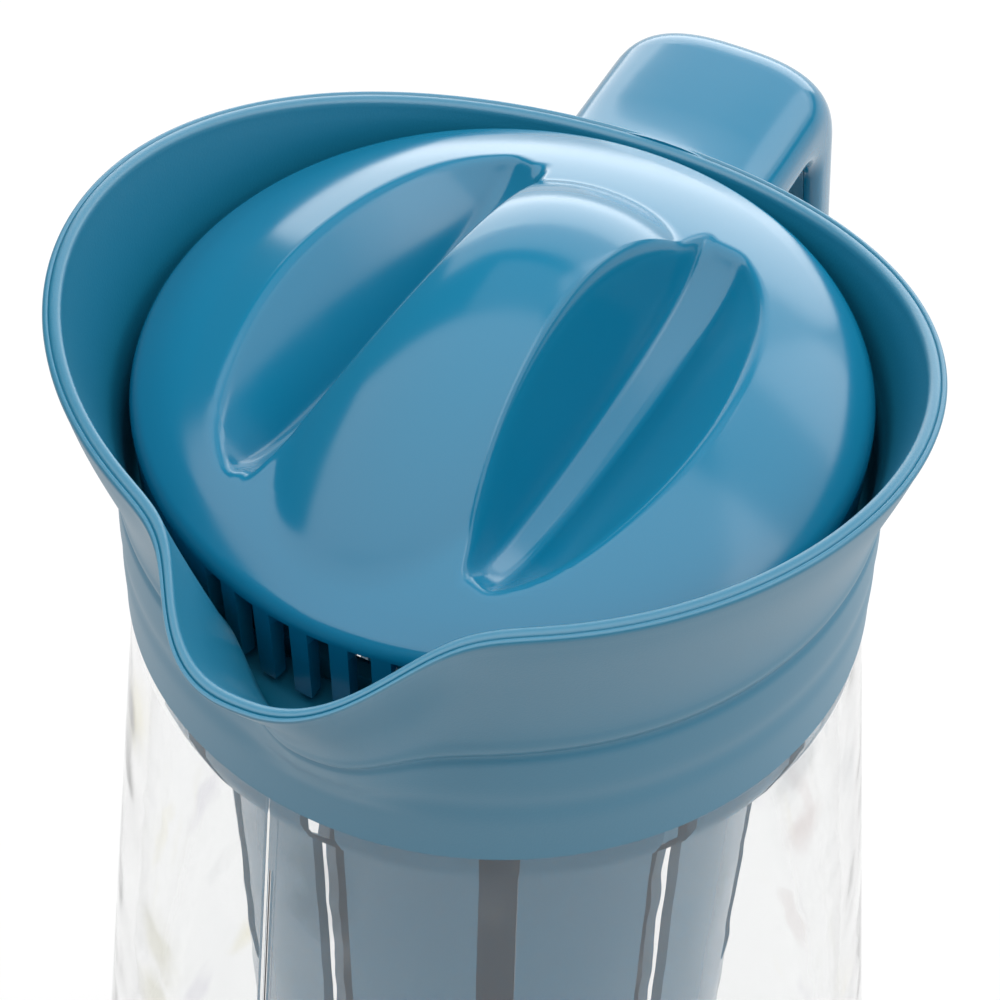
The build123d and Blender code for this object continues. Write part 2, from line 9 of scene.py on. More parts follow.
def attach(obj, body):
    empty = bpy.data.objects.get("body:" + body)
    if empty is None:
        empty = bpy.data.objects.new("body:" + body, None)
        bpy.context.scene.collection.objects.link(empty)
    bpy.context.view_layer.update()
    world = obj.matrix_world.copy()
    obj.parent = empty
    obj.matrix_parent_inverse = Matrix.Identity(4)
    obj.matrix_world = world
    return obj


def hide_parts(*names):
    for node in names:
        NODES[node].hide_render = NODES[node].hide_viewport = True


bl_info = {
    "name": "Fruit infuser pitcher",
    "version": (1, 0, 0),
    "blender": (4, 5, 0),
    "location": "View3D > Sidebar > Pitcher",
    "description": "Builds the visible pieces of a glass infuser pitcher around its packed solids",
    "category": "Object",
}

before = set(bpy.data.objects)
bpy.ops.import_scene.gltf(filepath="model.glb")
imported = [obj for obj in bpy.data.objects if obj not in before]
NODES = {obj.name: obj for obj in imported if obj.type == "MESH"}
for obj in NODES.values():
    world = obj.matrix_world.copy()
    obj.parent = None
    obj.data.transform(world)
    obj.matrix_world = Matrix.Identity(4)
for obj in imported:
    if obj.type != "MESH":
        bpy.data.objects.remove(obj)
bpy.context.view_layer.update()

MM = 0.001
COLLAR_Z = 196.0            # lower edge of the collar over the base, the zero of the heights below

# Lid, in millimetres, with X towards the handle
LID_COLUMNS = 400           # faces round the lid
LID_WALL = 2.0
LID_FOOT_RADIUS = 48.6
LID_FOOT_HEIGHT = 19.8
LID_DRAFT = 0.082           # the wall leans out by this much for each millimetre upwards
LID_INNER_FOOT = 46.6
LID_INNER_DRAFT = 0.03
LID_EDGE_MIDDLE = (46.9, 35.45)
LID_EDGE_ROUND = 3.0
LID_INNER_EDGE_MIDDLE = (45.6, 33.9)
LID_INNER_EDGE_ROUND = 1.4
LID_EDGE_ENDS = (63, 5)     # where the edge's rounding begins and ends, in degrees over level
DOME_EDGE = 46.4            # ridge and scoops end inside this radius
DOME_FADE = 44.0            # and fade out from here
DOME_LOW = 30.0             # all of the dome lies higher
RIDGE_TOP_X = 1.0
RIDGE_REACH = (-50.0, 38.0)  # the ridge's side arcs run this far from its top
RIDGE_FLANK = 21.0          # half width at which the ridge's round back ends in a plain flank
RIDGE_FLANK_SLOPE = 3.0
SCOOP_MIDDLE_X = -2.5
SCOOP_HALF_LENGTH = 34.5
SCOOP_END_RISE = 4.2        # a scoop's floor turns up by this much at its ends
SCOOP_END_POWER = 8
KEEL_MIDDLE_X = -6.0
KEEL_SPLAY = 0.047          # the keels draw apart towards the spout
KEEL_RADIUS = 170.0         # arc of a keel seen from the side
STRIP_WIDENING = 0.03       # the strip along a keel widens towards the handle
STRIP_INNER_ROUND = 2.0
STRIP_OUTER_ROUND = 1.2
SCOOP_EDGE_OUTER = 1.3      # softness of a scoop's edge on the far side
SCOOP_EDGE_INNER = 3.0      # and on the ridge side
SCOOP_EDGE_TURN = (-1.0, 4.0)  # how far one wall stands over the other where the softness changes
COMB_RADIUS = 49.3
COMB_TOP = 35.2
COMB_INNER_TOP = 33.0
COMB_FOOT = 21.4            # free ends of the bars
COMB_INNER_RADIUS = 46.0
COMB_WALL_MIDDLE = 47.6
HALF_BAR_COLUMNS = 2        # columns of faces in half the middle bar
SLOT_COLUMNS = 4            # and in each slot and each other bar

# Collar, in millimetres
COLLAR_COLUMNS = 480
BAND_TOP = 22.5             # the band ends here and the bowl begins
BOWL_HEIGHTS = (BAND_TOP, 30.0, 38.0, 46.0, 58.0)
BOWL_RADII = (52.2, 53.0, 55.7, 58.1, 60.9)
BAND_FOOT_RADIUS = 51.7
BAND_SWELL = 0.5
BAND_SWELL_TOP = 14.0
STRETCH_LOW = 26.0          # the drawn section is stretched to the rim above this height
STRETCH_TOP = 52.5
RIM_DRAWN = 54.0            # height at which the rim is drawn
SPOUT_SKIN = (46.0, 49.5)   # radii between which the wall begins to follow the spout
CREASE_SKIN = (-1.2, -0.6)  # depths under the outside between which the wall begins to follow the creases
CREASE_LINE = 22.3          # height of the crease under the bowl
CREASE_DEPTH = 0.5
CREASE_WIDTH = 0.8
CREASE_DIP = 3.0            # the crease dips under the spout
CREASE_DIP_SPREAD = 20.0    # degrees
LIP_RISE = 2.2              # a slight lip over the crease
LIP_DEPTH = 0.18
LIP_WIDTH = 1.2
LOW_CREASE_LINE = 11.5      # height of the softer crease in the band
LOW_CREASE_DEPTH = 0.3
LOW_CREASE_WIDTH = 2.2
RIM_SECTION = (             # two beads and a groove: how far inwards and how far below the top
    (0.1, 1.0), (0.05, 0.55), (0.2, 0.25), (0.5, 0.14), (0.75, 0.2), (0.86, 0.38), (0.97, 0.2),
    (1.2, 0.05), (1.6, 0.0), (2.0, 0.04), (2.35, 0.2), (2.55, 0.5), (2.65, 1.0))
RIM_WALL = 2.75
FUNNEL_HEIGHTS = (32.0, 36.0, 41.0, 47.0, STRETCH_TOP)
FUNNEL_RADII = (51.7, 52.9, 54.4, 56.1)  # the last one follows from the rim
LEDGE = 19.5                # upper and lower face of the ledge under the lid
LEDGE_UNDER = 16.0
THROAT = 43.2               # radii of the throat that takes the lid's plug
THROAT_OUTER = 44.9
SKIRT_BORE = 49.8           # radius inside the skirt over the glass neck

# Handle, in millimetres
BEND_POINTS = 15
INSERT_START = 10.0         # along the finger side
HANDLE_FOOT = 4.0           # plain end of the strap
HANDLE_END_ROUND = 1.5
STATION_LEAD = 4.0          # from the recess's start to the first section on the straight run
STATION_STEP = 6.0
STRAP_LIP_ROUND = 2.0
STRAP_SKIN = 2.3            # wall beside the recess
ROOT_DEPTH = 1.0            # how deep the strap's root lies in the collar's wall

# Finishes, in millimetres
GLOSS_WAVE_SIZE = 9.0
GRAIN_SIZE = 0.35
SEAM_ANGLE = math.radians(168)
SEAM_HALF_WIDTH = 0.45
SEAM_RELIEF = 0.13          # parts of the relief's depth
SEAM_FRONT = 49.0           # the seam is drawn beyond this distance from the axis, not on the base
GLASS_WAVE_SIZE = 14.0
GLASS_WAVE_RELIEF = 0.09
GLASS_RELIEF_DEPTH = 0.6
GLASS_TAPER = 0.0762        # radius gained for each millimetre downwards
GLASS_SKIN = 64.2           # radius carried down to the base, which only the outer face exceeds
GLASS_TINT = (0.925, 0.93, 0.93, 1)
DAB_SPACING = 17.0
DAB_DRIFT = 6.0             # how far the dabs' edges wander
DAB_FADE = (0.14, 0.44)     # parts of the spacing between which a dab fades out
DAB_STRENGTH = 0.6
DAB_CHANCE = 0.45           # share of the places left empty
DAB_HUES = ("#b3ae86", "#9aa0a6", "#d3c56a", "#a59db8", "#b79c98")

# Stage, in metres and watts
LIGHT_CENTRE = 0.24         # height of the lid, from which the soft boxes are placed
FLOOR_SIZE = 12.0
FLOOR_GLOW = 0.85
ROOM_LIGHT = 0.2
UP = (0, 0, 1)
SOFT_BOXES = (
    # Name, place, where the back faces, where the upper side faces, size and power.
    # Places and directions are beyond, right of and over the lid as the camera sees it.
    ("top_box", (-0.3, -0.1, 1.2), UP, (1, 0.28, 0), (3.4, 1.8), 42),
    ("back_wall", (1.25, 0.15, 0.1), (1.25, 0.15, 0.1), UP, (1.4, 0.62), 9),
    ("upper_wall", (1.12, 0.41, 0.63), (1.12, 0.41, 0.63), UP, (2.2, 0.48), 5.6),
    ("dim_panel", (0.85, 0.3, 1.25), (0.85, 0.3, 1.25), UP, (1.1, 0.5), 1.3),
    ("side_box", (0.39, 1.449, 1.1), (0.26, 0.966, 0), UP, (2.3, 1.8), 19),
)


def linear(hex_colour):
    """An sRGB hex colour as linear red, green and blue."""
    parts = [int(hex_colour[i:i + 2], 16) / 255 for i in (1, 3, 5)]
    return [c / 12.92 if c <= 0.04045 else ((c + 0.055) / 1.055) ** 2.4 for c in parts]


# Properties

class PitcherFinishes(bpy.types.PropertyGroup):
    """Colours of the pitcher's materials."""
    plastic_blue: bpy.props.FloatVectorProperty(
        name="Plastic blue", description="Moulded lid, handle and infuser",
        subtype="COLOR", default=linear("#066889"), min=0, max=1)
    collar_blue: bpy.props.FloatVectorProperty(
        name="Collar blue", description="Grained collar, lid liner and handle strip",
        subtype="COLOR", default=linear("#076886"), min=0, max=1)


class PitcherLid(bpy.types.PropertyGroup):
    """Forms of the lid, in millimetres, heights from the collar's lower edge."""
    turn: bpy.props.FloatProperty(
        name="Turn", description="How far the lid stands turned from the spout",
        subtype="ANGLE", default=math.radians(-6.6))
    crown: bpy.props.FloatProperty(name="Crown", description="Height of the plain dome", default=51.2)
    ball: bpy.props.FloatProperty(
        name="Ball radius", description="Radius of the dome's ball", default=96.29)
    ridge_top: bpy.props.FloatProperty(
        name="Ridge top", description="Height of the grip ridge", default=58.6)
    ridge_front: bpy.props.FloatProperty(
        name="Ridge front radius", description="Side arc of the ridge towards the spout", default=65.0)
    ridge_back: bpy.props.FloatProperty(
        name="Ridge back radius", description="Side arc of the ridge towards the handle", default=42.0)
    ridge_cross: bpy.props.FloatProperty(
        name="Ridge cross radius", description="Rounding of the ridge's back", default=22.0)
    ridge_blend: bpy.props.FloatProperty(
        name="Ridge blend", description="Depth over which the ridge runs out into the dome", default=0.8)
    keel: bpy.props.FloatProperty(
        name="Keel", description="How far the keel of each scoop lies beside the ridge", default=15.9)
    keel_height: bpy.props.FloatProperty(
        name="Keel height", description="Where the walls of a scoop would meet", default=32.9)
    inner_slope: bpy.props.FloatProperty(
        name="Inner slope", description="Scoop wall on the ridge side",
        subtype="ANGLE", default=math.radians(75))
    outer_slope: bpy.props.FloatProperty(
        name="Outer slope", description="Scoop wall on the far side",
        subtype="ANGLE", default=math.radians(39))
    strip_height: bpy.props.FloatProperty(
        name="Strip height", description="How far the strip along a keel lies over the meeting of the walls",
        default=3.8)
    strip_slope: bpy.props.FloatProperty(
        name="Strip slope", description="Outward fall of the strip along a keel",
        subtype="ANGLE", default=math.radians(24))
    comb_slots: bpy.props.IntProperty(
        name="Comb slots", description="Slots of the strainer comb", default=6)
    comb_pitch: bpy.props.FloatProperty(
        name="Comb pitch", description="From slot to slot", subtype="ANGLE", default=math.radians(6.8))
    comb_width: bpy.props.FloatProperty(name="Slot width", description="Width of a comb slot", default=3.2)


class PitcherHandle(bpy.types.PropertyGroup):
    """Forms of the strap in millimetres, its corners as place along X and height from the collar's edge."""
    start: bpy.props.FloatVectorProperty(
        name="Start", description="Root in the collar", size=2, default=(48.0, 35.7))
    knee: bpy.props.FloatVectorProperty(
        name="Knee", description="Upper bend", size=2, default=(83.9, 32.8))
    heel: bpy.props.FloatVectorProperty(
        name="Heel", description="Lower bend", size=2, default=(97.5, -86.0))
    end: bpy.props.FloatVectorProperty(
        name="End", description="Free end", size=2, default=(68.0, -107.0))
    outer_rounds: bpy.props.FloatVectorProperty(
        name="Outer rounds", description="Roundings of the bends outside", size=2, default=(9.0, 20.0))
    finger_rounds: bpy.props.FloatVectorProperty(
        name="Finger rounds", description="Roundings of the bends on the finger side", size=2,
        default=(9.0, 10.0))
    width: bpy.props.FloatProperty(name="Width", description="Width of the strap", default=32.4)
    depth: bpy.props.FloatProperty(name="Depth", description="Thickness of the strap", default=10.5)
    crown: bpy.props.FloatProperty(name="Crown", description="Depth of the round back", default=7.4)
    fullness: bpy.props.FloatProperty(
        name="Fullness", description="2 makes the round back an ellipse, more a squarer form", default=2.7)
    insert_depth: bpy.props.FloatProperty(
        name="Insert depth", description="Recess for the strip on the finger side", default=2.6)


class PitcherCollar(bpy.types.PropertyGroup):
    """Forms of the collar, in millimetres, heights from its lower edge."""
    reach: bpy.props.FloatProperty(
        name="Spout reach", description="Spout tip beyond the round wall", default=18.4)
    reach_start: bpy.props.FloatProperty(
        name="Spout root", description="Height where the spout leaves the band", default=8.0)
    spread: bpy.props.FloatProperty(
        name="Spout spread", description="Half width of the spout at the rim, in degrees", default=14.6)
    narrowing: bpy.props.FloatProperty(
        name="Spout narrowing", description="How much less the spread is at the crease", default=3.2)
    bluntness: bpy.props.FloatProperty(
        name="Spout bluntness", description="2 is a bell curve, more makes the nose broader", default=2.6)
    peak: bpy.props.FloatVectorProperty(
        name="Rim peak", description="Place along X and height of the rim's highest point", size=2,
        default=(-47.0, 55.1))
    front_radius: bpy.props.FloatProperty(
        name="Rim front radius", description="Side arc of the rim towards the spout", default=140.0)
    back_radius: bpy.props.FloatProperty(
        name="Rim back radius", description="Side arc of the rim towards the handle", default=275.0)


class PitcherView(bpy.types.PropertyGroup):
    """Where the photograph was taken from."""
    place: bpy.props.FloatVectorProperty(
        name="Camera place", description="Camera in the pitcher's frame",
        subtype="XYZ", unit="LENGTH", default=(-0.3800, -0.1692, 0.6672))
    heading: bpy.props.FloatProperty(
        name="Heading", description="Direction the camera looks, from +X towards +Y",
        subtype="ANGLE", default=math.radians(24.0))
    pitch: bpy.props.FloatProperty(
        name="Pitch", description="How far the camera looks down",
        subtype="ANGLE", default=math.radians(47.72))
    roll: bpy.props.FloatProperty(
        name="Roll", description="How far the camera leans to its left",
        subtype="ANGLE", default=math.radians(1.503))
    lens: bpy.props.FloatProperty(
        name="Lens", description="Focal length on a 36 mm sensor",
        subtype="DISTANCE_CAMERA", default=162.0)


# Materials

def add_node(tree, kind, inputs=None, **settings):
    """Adds a node with its settings, and fills or links its inputs."""
    made = tree.nodes.new(kind)
    for name, value in settings.items():
        setattr(made, name, value)
    for name, value in (inputs or {}).items():
        if isinstance(value, bpy.types.NodeSocket):
            tree.links.new(value, made.inputs[name])
        else:
            made.inputs[name].default_value = value
    return made


def new_material(name):
    """An empty node material and its tree."""
    material = bpy.data.materials.new(name)
    material.use_nodes = True
    material.node_tree.nodes.clear()
    return material, material.node_tree


def glossy_plastic(finishes):
    """Injection-moulded polypropylene from a polished mould: clear mirror-like sheen, faint waviness."""
    material, tree = new_material("moulded_gloss_plastic")
    place = add_node(tree, "ShaderNodeTexCoord").outputs["Object"]
    wave = add_node(tree, "ShaderNodeTexNoise", {
        "Vector": place, "Scale": 1 / (GLOSS_WAVE_SIZE * MM), "Detail": 2.0})
    bump = add_node(tree, "ShaderNodeBump", {
        "Height": wave.outputs["Fac"], "Strength": 0.05, "Distance": 0.2 * MM})
    rough = add_node(tree, "ShaderNodeMapRange", {
        "Value": wave.outputs["Fac"], "To Min": 0.12, "To Max": 0.2})
    skin = add_node(tree, "ShaderNodeBsdfPrincipled", {
        "Base Color": (*finishes.plastic_blue, 1), "Roughness": rough.outputs["Result"],
        "IOR": 1.49, "Normal": bump.outputs["Normal"]})
    add_node(tree, "ShaderNodeOutputMaterial", {"Surface": skin.outputs["BSDF"]})
    return material


def satin_plastic(finishes):
    """Polypropylene from a spark-eroded mould: an even fine grain that spreads the sheen."""
    material, tree = new_material("moulded_satin_plastic")
    place = add_node(tree, "ShaderNodeTexCoord").outputs["Object"]
    grain = add_node(tree, "ShaderNodeTexNoise", {
        "Vector": place, "Scale": 1 / (GRAIN_SIZE * MM), "Detail": 2.0})
    bump = add_node(tree, "ShaderNodeBump", {
        "Height": grain.outputs["Fac"], "Strength": 0.35, "Distance": 0.06 * MM})
    skin = add_node(tree, "ShaderNodeBsdfPrincipled", {
        "Base Color": (*finishes.collar_blue, 1), "Roughness": 0.4, "Specular IOR Level": 0.9,
        "IOR": 1.49, "Normal": bump.outputs["Normal"]})
    add_node(tree, "ShaderNodeOutputMaterial", {"Surface": skin.outputs["BSDF"]})
    return material


def clear_glass():
    """Blown soda-lime glass with faint waves, one raised parting line and dabs of enamel."""
    material, tree = new_material("blown_clear_glass")
    place = add_node(tree, "ShaderNodeTexCoord").outputs["Object"]
    axes = add_node(tree, "ShaderNodeSeparateXYZ", {"Vector": place}).outputs
    ahead, sideways = math.cos(SEAM_ANGLE), math.sin(SEAM_ANGLE)
    along = add_node(tree, "ShaderNodeMath", {0: axes["X"], 1: ahead}, operation="MULTIPLY")
    front = add_node(tree, "ShaderNodeMath", {0: axes["Y"], 1: sideways, 2: along.outputs[0]},
                     operation="MULTIPLY_ADD")
    across = add_node(tree, "ShaderNodeMath", {0: axes["X"], 1: -sideways}, operation="MULTIPLY")
    aside = add_node(tree, "ShaderNodeMath", {0: axes["Y"], 1: ahead, 2: across.outputs[0]},
                     operation="MULTIPLY_ADD")
    off = add_node(tree, "ShaderNodeMath", {0: aside.outputs[0]}, operation="ABSOLUTE")
    seam = add_node(tree, "ShaderNodeMapRange", {
        "Value": off.outputs[0], "From Min": 0.0, "From Max": SEAM_HALF_WIDTH * MM,
        "To Min": SEAM_RELIEF, "To Max": 0.0}, interpolation_type="SMOOTHSTEP")
    facing = add_node(tree, "ShaderNodeMath", {0: front.outputs[0], 1: SEAM_FRONT * MM},
                      operation="GREATER_THAN")
    ridge = add_node(tree, "ShaderNodeMath", {0: seam.outputs["Result"], 1: facing.outputs[0]},
                     operation="MULTIPLY")
    wave = add_node(tree, "ShaderNodeTexNoise", {
        "Vector": place, "Scale": 1 / (GLASS_WAVE_SIZE * MM), "Detail": 1.0})
    height = add_node(tree, "ShaderNodeMath", {
        0: wave.outputs["Fac"], 1: GLASS_WAVE_RELIEF, 2: ridge.outputs[0]}, operation="MULTIPLY_ADD")
    bump = add_node(tree, "ShaderNodeBump", {
        "Height": height.outputs[0], "Strength": 1.0, "Distance": GLASS_RELIEF_DEPTH * MM})
    cover, colour = enamel_dabs(tree, place, axes)
    tint = add_node(tree, "ShaderNodeMixRGB", {"Fac": cover, "Color1": GLASS_TINT, "Color2": colour})
    skin = add_node(tree, "ShaderNodeBsdfPrincipled", {
        "Base Color": tint.outputs["Color"], "Roughness": 0.0, "IOR": 1.5, "Transmission Weight": 1.0,
        "Normal": bump.outputs["Normal"]})
    add_node(tree, "ShaderNodeOutputMaterial", {"Surface": skin.outputs["BSDF"]})
    return material


def enamel_dabs(tree, place, axes):
    """Faint dabs of thin enamel on the outer face of the glass: how much they cover, and their colour."""
    drift = add_node(tree, "ShaderNodeTexNoise", {
        "Vector": place, "Scale": 1 / (DAB_DRIFT * MM), "Detail": 2.0})
    moved = add_node(tree, "ShaderNodeVectorMath", {
        0: drift.outputs["Color"], 1: (DAB_DRIFT * MM,) * 3, 2: place}, operation="MULTIPLY_ADD")
    cells = add_node(tree, "ShaderNodeTexVoronoi", {
        "Vector": moved.outputs[0], "Scale": 1 / (DAB_SPACING * MM)})
    dab = add_node(tree, "ShaderNodeMapRange", {
        "Value": cells.outputs["Distance"], "From Min": DAB_FADE[0], "From Max": DAB_FADE[1],
        "To Min": DAB_STRENGTH, "To Max": 0.0}, interpolation_type="SMOOTHSTEP")
    chance = add_node(tree, "ShaderNodeSeparateColor", {"Color": cells.outputs["Color"]}).outputs
    present = add_node(tree, "ShaderNodeMath", {0: chance["Red"], 1: DAB_CHANCE}, operation="GREATER_THAN")
    level = add_node(tree, "ShaderNodeCombineXYZ", {"X": axes["X"], "Y": axes["Y"]})
    radius = add_node(tree, "ShaderNodeVectorMath", {0: level.outputs[0]}, operation="LENGTH")
    carried = add_node(tree, "ShaderNodeMath", {0: axes["Z"], 1: GLASS_TAPER, 2: radius.outputs["Value"]},
                       operation="MULTIPLY_ADD")
    outside = add_node(tree, "ShaderNodeMath", {0: carried.outputs[0], 1: GLASS_SKIN * MM},
                       operation="GREATER_THAN")
    shown = add_node(tree, "ShaderNodeMath", {0: dab.outputs["Result"], 1: present.outputs[0]},
                     operation="MULTIPLY")
    cover = add_node(tree, "ShaderNodeMath", {0: shown.outputs[0], 1: outside.outputs[0]},
                     operation="MULTIPLY")
    shades = add_node(tree, "ShaderNodeValToRGB", {"Fac": chance["Green"]})
    shades.color_ramp.interpolation = "CONSTANT"
    while len(shades.color_ramp.elements) < len(DAB_HUES):
        shades.color_ramp.elements.new(0.5)
    for index, (stop, hue) in enumerate(zip(shades.color_ramp.elements, DAB_HUES)):
        stop.position = index / len(DAB_HUES)
        stop.color = (*linear(hue), 1)
    return cover.outputs[0], shades.outputs["Color"]


def silicone():
    """Moulded white silicone with a dull skin."""
    material, tree = new_material("moulded_silicone")
    skin = add_node(tree, "ShaderNodeBsdfPrincipled", {
        "Base Color": (*linear("#d9dddc"), 1), "Roughness": 0.5, "IOR": 1.41})
    add_node(tree, "ShaderNodeOutputMaterial", {"Surface": skin.outputs["BSDF"]})
    return material


def dress_node(name, material):
    """Gives a solid of the frame its finish."""
    NODES[name].data.materials.clear()
    NODES[name].data.materials.append(material)


# Modelling helpers

def spun_ring(name, points, columns):
    """A closed profile of radius and height pairs, turned round the pitcher's axis."""
    bpy.ops.object.select_all(action="DESELECT")
    bpy.ops.mesh.primitive_circle_add(vertices=len(points), radius=MM)
    piece = bpy.context.object
    piece.name = name
    for vertex, (radius, height) in zip(piece.data.vertices, points):
        vertex.co = (-radius * MM, 0, (COLLAR_Z + height) * MM)
    bpy.ops.object.mode_set(mode="EDIT")
    bpy.ops.mesh.select_all(action="SELECT")
    bpy.ops.mesh.spin(steps=columns, angle=math.tau, center=(0, 0, 0), axis=(0, 0, 1))
    bpy.ops.mesh.select_all(action="SELECT")
    bpy.ops.mesh.remove_doubles(threshold=0.002 * MM)
    bpy.ops.mesh.normals_make_consistent(inside=False)
    bpy.ops.object.mode_set(mode="OBJECT")
    return piece


def places(piece):
    """A piece's points as millimetres, heights from the collar's lower edge."""
    flat = np.empty(len(piece.data.vertices) * 3)
    piece.data.vertices.foreach_get("co", flat)
    return flat.reshape(-1, 3) / MM - (0, 0, COLLAR_Z)


def put_places(piece, points):
    """Moves a piece's points to new places in millimetres."""
    piece.data.vertices.foreach_set("co", ((points + (0, 0, COLLAR_Z)) * MM).ravel())
    piece.data.update()


def smooth_step(value, low, high):
    """0 below low, 1 above high, and an even rise between them."""
    part = np.clip((value - low) / (high - low), 0, 1)
    return part * part * (3 - 2 * part)


def smooth_max(a, b, depth):
    """The higher of two surfaces, with their meeting rounded over a depth."""
    near = np.clip(depth - np.abs(a - b), 0, None) / depth
    return np.maximum(a, b) + near * near * depth / 4


def bowl_radius(height):
    """Outer radius of the collar's round wall: a plain band that flares into the bowl."""
    flare = np.polyfit(BOWL_HEIGHTS, BOWL_RADII, 3)
    band = BAND_FOOT_RADIUS + BAND_SWELL * smooth_step(height, 0, BAND_SWELL_TOP)
    bowl = np.polyval(flare, np.clip(height, BAND_TOP, BOWL_HEIGHTS[-1]))
    return np.where(height < BAND_TOP, band, bowl)


def bell(value, width):
    """1 at zero, falling off on both sides like a bell."""
    return np.exp(-(value / width) ** 2)


def arc(middle, radius, start, end, count):
    """Points along an arc in the plane of a profile, angles in degrees from outwards to up."""
    angles = np.radians(np.linspace(start, end, count))
    return [(middle[0] + radius * math.cos(a), middle[1] + radius * math.sin(a)) for a in angles]


def finish_piece(piece, node, body, material, sharp_angle):
    """Shades a piece, gives it its finish and puts it in its solid's place."""
    bpy.ops.object.select_all(action="DESELECT")
    piece.select_set(True)
    bpy.context.view_layer.objects.active = piece
    bpy.ops.object.shade_smooth_by_angle(angle=math.radians(sharp_angle))
    piece.data.materials.clear()
    piece.data.materials.append(material)
    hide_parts(node)
    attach(piece, body)


# Pieces

class PITCHER_OT_lid(bpy.types.Operator):
    """Shape the domed lid with its ridge, finger scoops and strainer comb"""
    bl_idname = "pitcher.lid"
    bl_label = "Lid"

    def execute(self, context):
        lid = context.scene.pitcher_lid
        piece = spun_ring("lid", self.profile(lid), LID_COLUMNS)
        points = self.line_up(lid, places(piece))
        radius = np.hypot(points[:, 0], points[:, 1])
        wall_middle = self.height_of_dome(lid, radius, LID_WALL / 2)
        inset = np.where(points[:, 2] > wall_middle, 0.0, LID_WALL)
        on_top = (radius < DOME_EDGE) & (points[:, 2] > DOME_LOW)
        plain = self.height_of_dome(lid, radius, inset)
        raised = self.height(lid, points[:, 0], points[:, 1], inset) - plain
        points[:, 2] += np.where(on_top, raised, 0)
        put_places(piece, points)
        self.cut_comb(piece, lid)
        bpy.ops.object.select_all(action="DESELECT")
        piece.select_set(True)
        bpy.context.view_layer.objects.active = piece
        piece.rotation_euler = (0, 0, lid.turn)
        bpy.ops.object.transform_apply(location=False, rotation=True, scale=False)
        gloss = glossy_plastic(context.scene.pitcher_finishes)
        finish_piece(piece, "lid_cap", "lid", gloss, sharp_angle=40)
        return {"FINISHED"}

    def height_of_dome(self, lid, radius, inset):
        """Height of the plain dome, or of a face that lies inset under it."""
        return lid.crown - inset - lid.ball + np.sqrt(lid.ball ** 2 - radius ** 2)

    def height(self, lid, x, y, inset):
        """Height of the lid's top over a place in its plan: dome, ridge and scoops."""
        away = np.abs(y)
        side_arc = np.where(x < RIDGE_TOP_X, lid.ridge_front, lid.ridge_back)
        from_top = np.clip(x - RIDGE_TOP_X, *RIDGE_REACH)
        crest = lid.ridge_top - side_arc + np.sqrt(side_arc ** 2 - from_top ** 2)
        fall = lid.ridge_cross - np.sqrt(lid.ridge_cross ** 2 - np.clip(away, 0, RIDGE_FLANK) ** 2)
        ridge = crest - fall - inset - RIDGE_FLANK_SLOPE * np.clip(away - RIDGE_FLANK, 0, None)
        radius = np.hypot(x, y)
        dome = self.height_of_dome(lid, radius, inset)
        body = smooth_max(dome, ridge, lid.ridge_blend)
        along = x - SCOOP_MIDDLE_X
        aft = x - KEEL_MIDDLE_X
        keel = lid.keel - KEEL_SPLAY * aft
        floor = lid.keel_height - inset + along ** 2 / (2 * KEEL_RADIUS)
        floor += SCOOP_END_RISE * (np.abs(along) / SCOOP_HALF_LENGTH) ** SCOOP_END_POWER
        inner = floor + (keel - away - inset / math.sin(lid.inner_slope)) * math.tan(lid.inner_slope)
        outer = floor + (away - keel) * math.tan(lid.outer_slope)
        strip = floor + lid.strip_height + STRIP_WIDENING * aft - (away - keel) * math.tan(lid.strip_slope)
        scoop = smooth_max(smooth_max(inner, strip, STRIP_INNER_ROUND), outer, STRIP_OUTER_ROUND)
        ridge_side = smooth_step(inner - outer, *SCOOP_EDGE_TURN)
        soft = SCOOP_EDGE_OUTER + (SCOOP_EDGE_INNER - SCOOP_EDGE_OUTER) * ridge_side
        edge = -smooth_max(-body, -scoop, soft)
        kept = smooth_step(radius, DOME_EDGE, DOME_FADE)
        return dome + (edge - dome) * kept

    def profile(self, lid):
        """Half section without ridge and scoops: outside from the crown to the foot, then inside."""
        # The rings stand closest where the ridge and the scoops are
        rings = [*np.arange(0, 8, 1.0), *np.arange(8, 39, 0.34), *np.arange(39, 46.5, 0.75)]
        outside = [(r, float(self.height_of_dome(lid, r, 0))) for r in rings]
        edge = arc(LID_EDGE_MIDDLE, LID_EDGE_ROUND, *LID_EDGE_ENDS, 9)
        heights = (COMB_TOP, COMB_INNER_TOP, 30.0, 27.0, 24.0, COMB_FOOT, LID_FOOT_HEIGHT)
        wall = [(LID_FOOT_RADIUS + LID_DRAFT * (h - LID_FOOT_HEIGHT), h) for h in heights]
        inside_wall = [(LID_INNER_FOOT + LID_INNER_DRAFT * (h - LID_FOOT_HEIGHT), h)
                       for h in reversed(heights[1:])]
        inside_edge = arc(LID_INNER_EDGE_MIDDLE, LID_INNER_EDGE_ROUND, *reversed(LID_EDGE_ENDS), 4)
        inner_rings = [*np.arange(45.0, 6, -1.0), 4, 2, 0]
        inside = [(r, float(self.height_of_dome(lid, r, LID_WALL))) for r in inner_rings]
        return outside + edge + wall + inside_wall + inside_edge + inside

    def comb_marks(self, lid):
        """Angles from the middle bar outwards where bars and slots end, in degrees."""
        half_slot = math.degrees(lid.comb_width / COMB_RADIUS) / 2
        middles = [math.degrees(lid.comb_pitch) * (index + 0.5) for index in range(lid.comb_slots // 2)]
        return [0.0] + [middle + side for middle in middles for side in (-half_slot, half_slot)]

